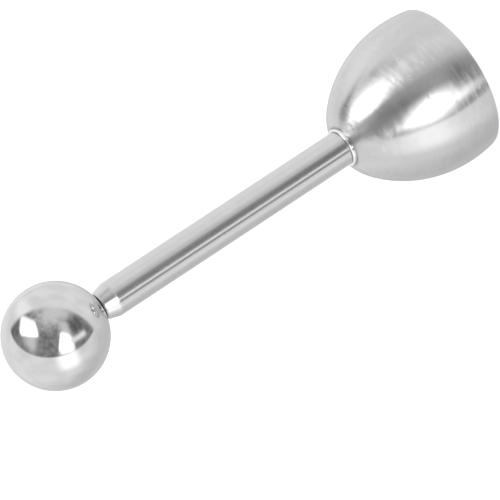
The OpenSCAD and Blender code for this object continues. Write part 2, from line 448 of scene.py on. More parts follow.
def make_window_group():
    """A lit window in the surroundings: 1 for directions inside the four planes of its edges."""
    edges = [(f"Edge {k}", (1.0, 0.0, 0.0)) for k in range(1, 5)]
    tree, given, out = new_group(
        "studio_window", [("Direction", (0.0, 0.0, 1.0)), *edges, ("Softness", 0.02)], ["Lit"])
    lit = 1.0
    for label, _ in edges:
        inside = dotted(tree, given["Direction"], given[label])
        share = sums(tree, "DIVIDE", inside, given["Softness"])
        lit = sums(tree, "MULTIPLY", fade(tree, share, -1.0, 1.0), lit)
    plug(tree, lit, out["Lit"])


# ---------------------------------------------------------------- finishes


def new_finish(name):
    """An empty metal finish."""
    material = bpy.data.materials.new(name)
    material.use_nodes = True
    tree = material.node_tree
    tree.nodes.clear()
    shader = tree.nodes.new("ShaderNodeBsdfPrincipled")
    out = tree.nodes.new("ShaderNodeOutputMaterial")
    tree.links.new(shader.outputs[0], out.inputs["Surface"])
    shader.inputs["Metallic"].default_value = 1.0
    return material, tree, shader


# Lowest roughness of a finish, and what scratches and painted joint shade make of it at full strength
SMOOTHEST = 0.012
SCRATCH_BLUR, SCRATCH_DEPTH = 0.3, 0.4e-6
JOINT_SHADE_ROUGHNESS = 0.6
# Colours of the painted shade in joints and recesses, on steel and on brass
STEEL_JOINT_SHADE, BRASS_JOINT_SHADE = (0.10, 0.09, 0.08), (0.12, 0.08, 0.04)


def metal(name, colour, roughness, *, seed, rings=2.0, lines=3.0,
          grain_depth=0.0, grain_blur=0.04, grain_shade=0.03,
          cloud=0.012, smudge_blur=0.03, smudge_shade=0.03, scratch=0.25, wave=0.0,
          anisotropic=0.0, turn=0.0, joint_shade=(), joint_shade_colour=STEEL_JOINT_SHADE):
    """A metal with grain, smudges, scratches and painted shade in its joints.

    rings and lines set the grain, by the mm and by the turn. cloud is the size of the smudges. Each _blur
    is what an effect adds to the roughness, and each _shade what it takes off the colour. grain_depth and
    wave are heights in metres. turn is the share of a turn from the ring direction. The bands of painted
    shade in joints and recesses, dark and rougher, are a list of (height, reach, strength).
    """
    material, tree, shader = new_finish(name)
    grain = use_group(
        tree, "polishing_grain", Rings_per_mm=rings, Lines_per_turn=lines, Seed=seed).outputs["Grain"]
    marks = use_group(tree, "handling_marks", Cloud_size=cloud, Scratch_spread=cloud * 0.3, Seed=seed)
    smudge, scratches = marks.outputs["Smudge"], marks.outputs["Scratch"]

    shade = sums(tree, "MULTIPLY_ADD", grain, grain_shade, 1.0 - grain_shade)
    shade = sums(tree, "MULTIPLY", shade, sums(tree, "MULTIPLY_ADD", smudge, -smudge_shade, 1.0))
    base = tint(tree, shade, (0.0, 0.0, 0.0, 1.0), rgba(colour))
    rough = sums(tree, "MULTIPLY_ADD", grain, grain_blur, roughness - grain_blur / 2)
    rough = sums(tree, "MULTIPLY_ADD", smudge, smudge_blur, rough)
    rough = sums(tree, "MULTIPLY_ADD", scratches, scratch * SCRATCH_BLUR, rough)
    # Each band paints shade into a joint or recess: the colour goes dark and the metal rougher
    for height, reach, strength in joint_shade:
        band_mask = use_group(tree, "height_band", Height=height, Reach=reach).outputs["Band"]
        painted_shade = sums(tree, "MULTIPLY", band_mask, sums(tree, "MULTIPLY_ADD", smudge, 0.4, 0.6))
        painted_shade = sums(tree, "MULTIPLY", painted_shade, strength)
        base = tint(tree, painted_shade, base, rgba(joint_shade_colour))
        rough = between(tree, painted_shade, rough, JOINT_SHADE_ROUGHNESS)
    plug(tree, base, shader.inputs["Base Color"])
    plug(tree, sums(tree, "MAXIMUM", rough, SMOOTHEST), shader.inputs["Roughness"])

    height = sums(tree, "MULTIPLY", scratches, -scratch * SCRATCH_DEPTH)
    height = sums(tree, "MULTIPLY_ADD", grain, grain_depth, height)
    height = sums(tree, "MULTIPLY_ADD", smudge, wave, height)
    bump = add(tree, "ShaderNodeBump", Strength=1.0, Distance=1.0)
    plug(tree, height, bump.inputs["Height"])
    plug(tree, bump.outputs[0], shader.inputs["Normal"])

    if anisotropic:
        shader.inputs["Anisotropic"].default_value = anisotropic
        shader.inputs["Anisotropic Rotation"].default_value = turn
        tangent = tree.nodes.new("ShaderNodeTangent")
        tangent.direction_type = "RADIAL"
        tangent.axis = "Z"
        plug(tree, tangent.outputs[0], shader.inputs["Tangent"])
    return material


def dress(made, material):
    """Puts one material on every slot of a piece, or on a new slot where it has none."""
    slots = made.material_slots
    if len(slots):
        for s in slots:
            s.material = material
    else:
        made.data.materials.append(material)


# ---------------------------------------------------------------- sizes and finishes to change


def length_setting(name, description, default, low, high):
    """A length that a user may change."""
    return FloatProperty(
        name=name, description=description, default=default, min=low, max=high, unit="LENGTH", precision=5)


def factor_setting(name, description, default, low, high):
    """A plain factor that a user may change."""
    return FloatProperty(
        name=name, description=description, default=default, min=low, max=high, subtype="FACTOR")


def colour_setting(name, description, default):
    """A colour that a user may change."""
    return FloatVectorProperty(
        name=name, description=description, default=default, min=0.0, max=1.0, subtype="COLOR")


class TopperSizes(bpy.types.PropertyGroup):
    bell_radius: length_setting(
        "Bell radius", "Outside radius of the bell at its widest",
        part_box("bell")[1].x, 0.02, 0.026)
    bell_widest: length_setting(
        "Widest height", "Height of the widest point above the rim", 7.0 * MM, 0.0, 0.01)
    flank_radius: length_setting(
        "Flank radius", "Radius of the arc of the bell's flank", 37.1 * MM, 0.03, 0.05)
    nose_radius: length_setting(
        "Nose radius", "Radius of the arc that closes the bell", 16.8 * MM, 0.01, 0.02)
    bell_wall: length_setting(
        "Bell wall", "Thickness of the spun sheet", 0.9 * MM, 0.0005, 0.002)
    rim_land: length_setting(
        "Rim land", "Width of the flat edge that meets the shell", 0.35 * MM, 0.0002, 0.0006)
    bevel_height: length_setting(
        "Bevel height", "Height of the ground bevel inside the rim", 1.2 * MM, 0.0005, 0.003)
    screw_hole: length_setting(
        "Screw hole radius", "Radius of the hole in the crown", 2.15 * MM, 0.001, 0.004)
    collar_round: length_setting(
        "Collar round", "Radius of the collar's outer edge", 0.35 * MM, 0.0001, 0.0005)
    tube_bore: length_setting(
        "Tube bore radius", "Inside radius of the handle tube", 4.2 * MM, 0.003, 0.005)
    neck_radius: length_setting(
        "Neck radius", "Outside radius of the lip under the ball", 3.95 * MM, 0.003, 0.005)
    neck_bore: length_setting(
        "Neck bore radius", "Inside radius of the neck", 2.8 * MM, 0.002, 0.004)
    neck_cone: length_setting(
        "Neck taper", "Length of the taper from tube to lip", 3.6 * MM, 0.002, 0.006)
    neck_lip: length_setting(
        "Neck lip", "Length of the straight lip", 0.7 * MM, 0.0003, 0.002)
    neck_bend: length_setting(
        "Neck bend radius", "Bend radius where the tube turns into the taper",
        3.5 * MM, 0.001, 0.006)
    rod_radius: length_setting(
        "Rod radius", "Radius of the plunger rod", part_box("plunger_rod")[1].x, 0.001, 0.003)
    bush_bore: length_setting(
        "Bush bore radius", "Radius of the hole that the rod runs in", 2.05 * MM, 0.001, 0.003)
    ball_radius: length_setting(
        "Ball radius", "Radius of the ball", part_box("ball")[1].x, 0.012, 0.017)
    ball_hole: length_setting(
        "Ball hole depth", "Depth of the hole for the rod", 12.0 * MM, 0.005, 0.02)
    wire: length_setting(
        "Spring wire", "Diameter of the spring's wire", 0.8 * MM, 0.0004, 0.0012)
    coil_radius: length_setting(
        "Coil radius", "Radius of the spring at the middle of its wire", 3.1 * MM, 0.002, 0.005)
    closed_pitch: length_setting(
        "Closed turn pitch", "Rise of each closed end turn", 1.25 * MM, 0.0008, 0.002)
    turns: IntProperty(
        name="Spring turns", description="Turns of wire, closed ends among them",
        default=22, min=8, max=30)
    sides: IntProperty(
        name="Sides", description="Faces round a turned piece", default=192, min=48, max=256)


class TopperFinish(bpy.types.PropertyGroup):
    bell_steel: colour_setting("Bell steel", "Colour of the satin bell", (0.68, 0.68, 0.685))
    bell_satin: factor_setting("Bell satin", "How matt the bell is", 0.22, 0.02, 0.8)
    tube_steel: colour_setting("Tube steel", "Colour of the polished tube", (0.68, 0.68, 0.685))
    tube_polish: factor_setting("Tube gloss", "How matt the tube is", 0.20, 0.02, 0.8)
    ball_steel: colour_setting("Ball steel", "Colour of the mirror-polished ball", (0.69, 0.69, 0.695))
    ball_polish: factor_setting("Ball gloss", "How matt the ball is", 0.09, 0.01, 0.5)
    collar_steel: colour_setting("Collar steel", "Colour of the bright collar", (0.92, 0.92, 0.925))
    plain_steel: colour_setting(
        "Plain steel", "Colour of the turned inner steel pieces", (0.52, 0.52, 0.53))
    spring_steel: colour_setting(
        "Spring steel", "Colour of the spring and the lock washer", (0.46, 0.47, 0.49))
    brass: colour_setting("Bush brass", "Colour of the guide bush", (0.80, 0.60, 0.30))
    floor: colour_setting("Floor", "Colour of the studio floor and backdrop", (1.0, 1.0, 1.0))


def chosen():
    """The sizes and finishes that the user has set."""
    scene = bpy.context.scene
    return scene.topper_sizes, scene.topper_finish


# ---------------------------------------------------------------- pieces


class TOPPER_OT_effects(bpy.types.Operator):
    """Build the effects that the finishes share"""

    bl_idname = "topper.effects"
    bl_label = "Shared effects"

    def execute(self, context):
        make_grain_group()
        make_handling_group()
        make_band_group()
        make_window_group()
        return {"FINISHED"}


class TOPPER_OT_bell(bpy.types.Operator):
    """Spin the bell: satin steel shell with a ground bevel inside its rim"""

    bl_idname = "topper.bell"
    bl_label = "Bell"

    def execute(self, context):
        size, finish = chosen()
        crown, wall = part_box("bell")[1].z, size.bell_wall
        flank_c = (size.bell_radius - size.flank_radius, size.bell_widest)
        nose_c = (0.0, self.nose_height(size))
        lean = math.atan2(nose_c[1] - flank_c[1], -flank_c[0])
        low = math.asin(-flank_c[1] / size.flank_radius)
        rim_r = flank_c[0] + size.flank_radius * math.cos(low)
        crown_a = math.asin((crown - nose_c[1]) / size.nose_radius)
        crown_r = size.nose_radius * math.cos(crown_a)
        in_nose, in_flank = size.nose_radius - wall, size.flank_radius - wall
        in_crown_a = math.asin((crown - wall - nose_c[1]) / in_nose)
        in_crown_r = in_nose * math.cos(in_crown_a)
        land_r = rim_r - size.rim_land
        bevel_z = self.bevel_top(size, flank_c, in_flank, land_r)
        bevel_a = math.asin((bevel_z - flank_c[1]) / in_flank)
        bevel_r = flank_c[0] + in_flank * math.cos(bevel_a)
        flank = sweep(flank_c, size.flank_radius, low, 0.0, 12)
        flank += sweep(flank_c, size.flank_radius, 0.0, lean, 44)[1:]
        runs = [
            straight((land_r, 0.0), (rim_r, 0.0)),
            flank,
            sweep(nose_c, size.nose_radius, lean, crown_a, 14),
            straight((crown_r, crown), (size.screw_hole, crown), 3),
            straight((size.screw_hole, crown), (size.screw_hole, crown - wall)),
            straight((size.screw_hole, crown - wall), (in_crown_r, crown - wall), 3),
            sweep(nose_c, in_nose, in_crown_a, lean, 14),
            sweep(flank_c, in_flank, lean, bevel_a, 52),
            straight((bevel_r, bevel_z), (land_r, 0.0), 2),
        ]
        rounds = [0.12 * MM, 0, 0.25 * MM, 0.08 * MM, 0.08 * MM, 0.2 * MM, 0, 0.15 * MM, 0.06 * MM]
        made = turned("spun_bell", section(runs, rounds), size.sides, closed=True)
        # A band of painted shade round the crown, where the collar sits on it
        steel = metal(
            "satin_spun_steel", finish.bell_steel, finish.bell_satin, rings=1.15, lines=5.0,
            grain_depth=4e-6, grain_blur=0.11, grain_shade=0.07, cloud=0.013, smudge_blur=0.02,
            smudge_shade=0.055, scratch=0.05, wave=5e-6, anisotropic=1.0, turn=0.25,
            joint_shade=[(crown + 0.05 * MM, 0.35 * MM, 0.45)], seed=3.0)
        dress(made, steel)
        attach(made, "handle")
        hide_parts("bell")
        return {"FINISHED"}

    @staticmethod
    def nose_height(size):
        """Height of the nose arc's centre, which makes it tangent to the flank."""
        across = size.flank_radius - size.bell_radius
        reach = size.flank_radius - size.nose_radius
        return size.bell_widest + math.sqrt(reach ** 2 - across ** 2)

    @staticmethod
    def bevel_top(size, flank_c, in_flank, land_r):
        """Height at which the bevel's cone meets the inner flank, found by halving."""
        run = size.bell_wall - size.rim_land
        low, high = 0.0, size.bevel_height
        for _ in range(60):
            z = (low + high) / 2
            flank = flank_c[0] + math.sqrt(in_flank ** 2 - (z - flank_c[1]) ** 2)
            if land_r - run * z / size.bevel_height < flank:
                high = z
            else:
                low = z
        return low


class TOPPER_OT_collar(bpy.types.Operator):
    """Turn the bright collar round the foot of the tube"""

    bl_idname = "topper.collar"
    bl_label = "Collar"

    def execute(self, context):
        size, finish = chosen()
        low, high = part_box("bell_collar")
        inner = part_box("handle_tube")[1].x
        r, z0, z1 = high.x, low.z, high.z
        side, bead, face = ease(
            straight((r, z0), (r, z1), 2), straight((r, z1), (inner, z1), 2), size.collar_round, 12)
        runs = [
            straight((inner, z0), (r, z0)),
            side + bead + face,
            straight((inner, z1), (inner, z0)),
        ]
        path = section(runs, [0.04 * MM, 0.06 * MM, 0])
        made = turned("bright_collar", path, size.sides, closed=True)
        # A band of painted shade at the collar's foot, against the bell
        steel = metal(
            "bright_collar_steel", finish.collar_steel, 0.12, rings=6.0, lines=2.0, grain_depth=0.25e-6,
            grain_blur=0.04, cloud=0.004, smudge_blur=0.04, scratch=0.2, seed=8.0,
            joint_shade=[(z0, 0.08 * MM, 0.5)])
        dress(made, steel)
        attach(made, "handle")
        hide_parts("bell_collar")
        return {"FINISHED"}


def neck(size):
    """Slope of the neck, and the heights of its lip, its taper and the two ends of its inner cone."""
    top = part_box("handle_tube")[1]
    lip_z = top.z - size.neck_lip
    cone_z = lip_z - size.neck_cone
    slope = math.atan2(top.x - size.neck_radius, size.neck_cone)
    inner_z = cone_z - (top.x - size.tube_bore) * math.tan(slope / 2)
    inner_top = min(inner_z + (size.tube_bore - size.neck_bore) / math.tan(slope), lip_z)
    return slope, lip_z, cone_z, inner_z, inner_top


class TOPPER_OT_tube(bpy.types.Operator):
    """Draw the handle tube and swage its neck"""

    bl_idname = "topper.tube"
    bl_label = "Handle tube"

    def execute(self, context):
        size, finish = chosen()
        low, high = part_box("handle_tube")
        r, foot, top = high.x, low.z, high.z
        slope, lip_z, cone_z, inner_z, inner_top = neck(size)
        bend_z = cone_z - size.neck_bend * math.tan(slope / 2)
        bend_c = (r - size.neck_bend, bend_z)
        bend_r = bend_c[0] + size.neck_bend * math.cos(slope)
        bend_end = (bend_r, bend_z + size.neck_bend * math.sin(slope))
        runs = [
            straight((size.tube_bore, foot), (r, foot)),
            straight((r, foot), (r, bend_z), 24),
            sweep(bend_c, size.neck_bend, 0.0, slope, 8),
            straight(bend_end, (size.neck_radius, lip_z), 3),
            straight((size.neck_radius, lip_z), (size.neck_radius, top), 2),
            straight((size.neck_radius, top), (size.neck_bore, top), 2),
            straight((size.neck_bore, top), (size.neck_bore, inner_top), 2),
            straight((size.neck_bore, inner_top), (size.tube_bore, inner_z), 3),
            straight((size.tube_bore, inner_z), (size.tube_bore, foot), 24),
        ]
        rounds = [0.03 * MM, 0, 0, 0.35 * MM, 0.12 * MM, 0.1 * MM, 0.1 * MM, 0.3 * MM, 0.03 * MM]
        made = turned("swaged_tube", section(runs, rounds), size.sides, closed=True)
        # Bands of painted shade at the joint with the collar, and a painted shadow on the lip under the ball
        steel = metal(
            "polished_tube_steel", finish.tube_steel, finish.tube_polish, rings=2.0, lines=3.0,
            grain_depth=0.3e-6, grain_blur=0.03, grain_shade=0.02, cloud=0.008, smudge_blur=0.02,
            smudge_shade=0.03, scratch=0.15, anisotropic=0.7, turn=0.25, seed=14.0,
            joint_shade=[(foot + 1.05 * MM, 0.22 * MM, 0.9), (top - 0.05 * MM, 0.56 * MM, 1.15)])
        dress(made, steel)
        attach(made, "handle")
        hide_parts("handle_tube")
        return {"FINISHED"}


class TOPPER_OT_fastening(bpy.types.Operator):
    """Make the domed screw and the split washer under the crown, and finish the plug they hold"""

    bl_idname = "topper.fastening"
    bl_label = "Bell fastening"

    def execute(self, context):
        size, finish = chosen()
        self.screw(finish)
        self.washer(size, finish)
        plug_steel = metal(
            "turned_plug_steel", finish.plain_steel, 0.3, rings=3.0, lines=1.0, grain_depth=0.8e-6,
            grain_blur=0.08, cloud=0.005, scratch=0.2, seed=21.0)
        dress(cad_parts["anvil_plug"], plug_steel)
        return {"FINISHED"}

    def screw(self, finish):
        """Domed head with a cross recess, and a shank with a rolled thread."""
        low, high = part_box("bell_screw")
        head_r, under, top = high.x, low.z, high.z
        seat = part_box("lock_washer")[0].z
        head_h = seat - under
        dome_r = (head_r ** 2 + head_h ** 2) / (2 * head_h)
        depth, arm, half_w = 0.6 * head_h, 0.62 * head_r, 0.5 * MM
        side_lean, end_lean = 0.10 * MM, 0.45 * MM

        def dome(r):
            return under + dome_r - math.sqrt(max(dome_r ** 2 - r * r, 0.0))

        def recessed(x, y):
            """Height of the dome with the cross cut into it, whose walls lean in a little."""
            share = 0.0
            for u, v in ((abs(x), abs(y)), (abs(y), abs(x))):
                share = max(share, min((half_w - v) / side_lean, (arm - u) / end_lean, 1.0))
            z = dome(math.hypot(x, y))
            return z + max(under + depth - z, 0.0) * share

        # The recessed middle is a fine square net, and the dome round it is rings from the net's edge
        skin = Skin(*net(arm * 1.18, 68, recessed))
        steps, brow = 12, head_r - 0.08 * MM
        for s in range(1, steps + 1):
            radii = [r + (brow - r) * s / steps for r in skin.radii]
            skin.ring(radii, [dome(r) for r in radii])
        for inset, drop in ((0.02, 0.10), (0.0, 0.05), (0.0, 0.02), (0.03, 0.0)):
            skin.circle(head_r - inset * MM, seat - drop * MM)
        self.shank(skin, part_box("plunger_rod")[1].x, seat, top)
        made = skin.finished("domed_screw")
        sharpen(made, 32)
        # A band of painted shade at the bottom of the cross recess
        steel = metal(
            "plated_screw_steel", finish.plain_steel, 0.24, rings=4.0, lines=1.0, grain_depth=0.3e-6,
            grain_blur=0.06, cloud=0.003, smudge_blur=0.08, scratch=0.3, seed=27.0,
            joint_shade=[(under + depth, 0.35 * MM, 0.45)])
        dress(made, steel)
        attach(made, "handle")
        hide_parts("bell_screw")

    def shank(self, skin, radius, seat, top):
        """Rolled thread of shallow ridges that stay inside the shank's own radius."""
        pitch, cut, runout, tip = 0.7 * MM, 0.16 * MM, 0.25 * MM, 0.35 * MM
        skin.circle(radius, seat)
        z = seat
        while z < top - runout:
            z += pitch / 8
            along = (z - seat) % pitch / pitch
            valley = 0.5 + 0.5 * math.cos(math.tau * along)
            skin.circle(radius - cut * valley * min((z - seat) / pitch, 1.0), z)
        skin.circle(radius - tip, top)

    def washer(self, size, finish):
        """Ring of rounded section, slit through at one side."""
        low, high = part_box("lock_washer")
        outer, inner = -low.x, size.screw_hole
        half_slit, edge = 0.35 * MM, 0.08 * MM
        start = math.asin(half_slit / outer)
        end = math.tau - start
        corners = []
        for cr, cz, a0 in ((outer - edge, low.z + edge, -90), (outer - edge, high.z - edge, 0),
                           (inner + edge, high.z - edge, 90), (inner + edge, low.z + edge, 180)):
            for k in range(4):
                a = math.radians(a0 + 30 * k)
                corners.append((cr + edge * math.cos(a), cz + edge * math.sin(a)))
        steps = 120
        rings = []
        for i in range(steps + 1):
            a = start + (end - start) * i / steps
            rings.append([(r * math.cos(a), r * math.sin(a), z) for r, z in reversed(corners)])
        # The slit's two faces are flat and parallel, half_slit from the middle plane
        for i, y in ((0, half_slit), (-1, -half_slit)):
            rings[i] = [(math.sqrt(r * r - y * y), y, z) for r, z in reversed(corners)]
        made = swept("split_washer", rings)
        sharpen(made, 40)
        steel = metal(
            "dark_washer_steel", finish.spring_steel, 0.34, rings=5.0, lines=2.0, grain_depth=0.4e-6,
            grain_blur=0.06, cloud=0.003, smudge_blur=0.08, smudge_shade=0.08, scratch=0.2, seed=33.0)
        dress(made, steel)
        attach(made, "handle")
        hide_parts("lock_washer")


class TOPPER_OT_guide(bpy.types.Operator):
    """Turn the brass guide bush in the neck"""

    bl_idname = "topper.guide"
    bl_label = "Guide bush"

    def execute(self, context):
        size, finish = chosen()
        low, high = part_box("guide_bush")
        outer = high.x
        *_, inner_z, inner_top = neck(size)
        runs = [
            straight((size.bush_bore, low.z), (outer, low.z), 2),
            straight((outer, low.z), (outer, inner_z), 2),
            straight((outer, inner_z), (size.neck_bore, inner_top), 2),
            straight((size.neck_bore, inner_top), (size.neck_bore, high.z), 2),
            straight((size.neck_bore, high.z), (size.bush_bore, high.z), 2),
            straight((size.bush_bore, high.z), (size.bush_bore, low.z), 4),
        ]
        rounds = [0.1 * MM, 0.1 * MM, 0.1 * MM, 0.08 * MM, 0.12 * MM, 0.1 * MM]
        made = turned("turned_bush", section(runs, rounds), 96, closed=True)
        # A band of painted shade at the top of the bush, inside the neck
        brass = metal(
            "turned_brass", finish.brass, 0.22, rings=7.0, lines=1.0, grain_depth=0.35e-6, grain_blur=0.06,
            cloud=0.004, smudge_blur=0.08, smudge_shade=0.12, scratch=0.15, seed=41.0,
            joint_shade=[(high.z, 0.15 * MM, 0.6)], joint_shade_colour=BRASS_JOINT_SHADE)
        dress(made, brass)
        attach(made, "handle")
        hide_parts("guide_bush")
        return {"FINISHED"}


class TOPPER_OT_spring(bpy.types.Operator):
    """Wind the return spring from round wire, and finish its two seats"""

    bl_idname = "topper.spring"
    bl_label = "Return spring"

    def execute(self, context):
        size, finish = chosen()
        low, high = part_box("return_spring")
        coil_l = high.z - low.z
        wire_r = size.wire / 2
        open_turns = size.turns - 2
        open_rise = coil_l - size.wire - 2 * size.closed_pitch
        per_turn, round_wire = 40, 14

        def height(turn):
            along = min(max(turn - 1, 0.0), open_turns)
            ends = min(turn, 1.0) + max(turn - 1 - open_turns, 0.0)
            return low.z + wire_r + size.closed_pitch * ends + open_rise * along / open_turns

        rings = []
        for i in range(size.turns * per_turn + 1):
            turn = i / per_turn
            a = math.tau * turn
            ring = []
            for k in reversed(range(round_wire)):
                b = math.tau * k / round_wire
                r = size.coil_radius + wire_r * math.cos(b)
                ring.append((r * math.cos(a), r * math.sin(a), height(turn) + wire_r * math.sin(b)))
            rings.append(ring)
        made = swept("wound_spring", rings)
        sharpen(made, 60)
        steel = metal(
            "drawn_spring_wire", finish.spring_steel, 0.2, rings=1.5, lines=3.0, grain_depth=0.2e-6,
            grain_blur=0.05, cloud=0.004, smudge_blur=0.05, smudge_shade=0.08, scratch=0.15, seed=52.0)
        dress(made, steel)
        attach(made, "handle")
        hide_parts("return_spring")
        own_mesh(made)
        seat_steel = metal(
            "blanked_washer_steel", finish.plain_steel, 0.28, rings=4.0, lines=1.0, grain_depth=0.4e-6,
            grain_blur=0.06, cloud=0.003, smudge_blur=0.07, scratch=0.25, seed=57.0)
        for name in ("upper_spring_seat", "lower_spring_seat"):
            dress(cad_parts[name], seat_steel)
        return {"FINISHED"}


class TOPPER_OT_plunger(bpy.types.Operator):
    """Grind the plunger rod, and finish the hammer and its lock nut"""

    bl_idname = "topper.plunger"
    bl_label = "Plunger"

    def execute(self, context):
        size, finish = chosen()
        low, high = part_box("plunger_rod")
        r = size.rod_radius
        runs = [
            straight((0.0, low.z), (r, low.z), 2),
            straight((r, low.z), (r, high.z), 32),
            straight((r, high.z), (0.0, high.z), 2),
        ]
        made = turned("ground_rod", section(runs, [0.3 * MM, 0.3 * MM]), 96, closed=False)
        steel = metal(
            "ground_rod_steel", finish.tube_steel, 0.14, rings=5.0, lines=2.0, grain_depth=0.25e-6,
            grain_blur=0.05, cloud=0.005, smudge_blur=0.05, scratch=0.3,
            anisotropic=0.5, turn=0.25, seed=63.0)
        dress(made, steel)
        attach(made, "plunger")
        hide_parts("plunger_rod")
        hammer_steel = metal(
            "turned_hammer_steel", finish.plain_steel, 0.26, rings=3.5, lines=1.0, grain_depth=0.7e-6,
            grain_blur=0.08, cloud=0.006, smudge_blur=0.06, scratch=0.4, seed=66.0)
        dress(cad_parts["hammer"], hammer_steel)
        nut_steel = metal(
            "plated_nut_steel", finish.plain_steel, 0.22, rings=3.0, lines=2.0, grain_depth=0.4e-6,
            grain_blur=0.05, cloud=0.003, smudge_blur=0.07, scratch=0.3, seed=71.0)
        dress(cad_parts["hammer_lock_nut"], nut_steel)
        return {"FINISHED"}


class TOPPER_OT_ball(bpy.types.Operator):
    """Turn and mirror-polish the ball"""

    bl_idname = "topper.ball"
    bl_label = "Ball"

    def execute(self, context):
        size, finish = chosen()
        low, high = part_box("ball")
        r = size.ball_radius
        centre = (0.0, high.z - r)
        flat = low.z
        flat_a = math.asin((flat - centre[1]) / r)
        flat_r = r * math.cos(flat_a)
        hole = size.rod_radius
        roof = flat + size.ball_hole
        runs = [
            straight((0.0, roof), (hole, roof), 2),
            straight((hole, roof), (hole, flat), 6),
            straight((hole, flat), (flat_r, flat), 3),
            sweep(centre, r, flat_a, math.pi / 2, 96),
        ]
        rounds = [0.1 * MM, 0.12 * MM, 0.12 * MM]
        made = turned("mirror_ball", section(runs, rounds), size.sides, closed=False)
        # A band of painted shadow round the flat, where the ball meets the neck
        steel = metal(
            "mirror_ball_steel", finish.ball_steel, finish.ball_polish, rings=1.2, lines=2.0,
            grain_blur=0.02, grain_shade=0.01, cloud=0.010, smudge_blur=0.03,
            smudge_shade=0.02, scratch=0.18, wave=0.8e-6, seed=77.0,
            joint_shade=[(flat, 0.25 * MM, 0.6)])
        dress(made, steel)
        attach(made, "plunger")
        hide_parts("ball")
        return {"FINISHED"}


# ---------------------------------------------------------------- studio


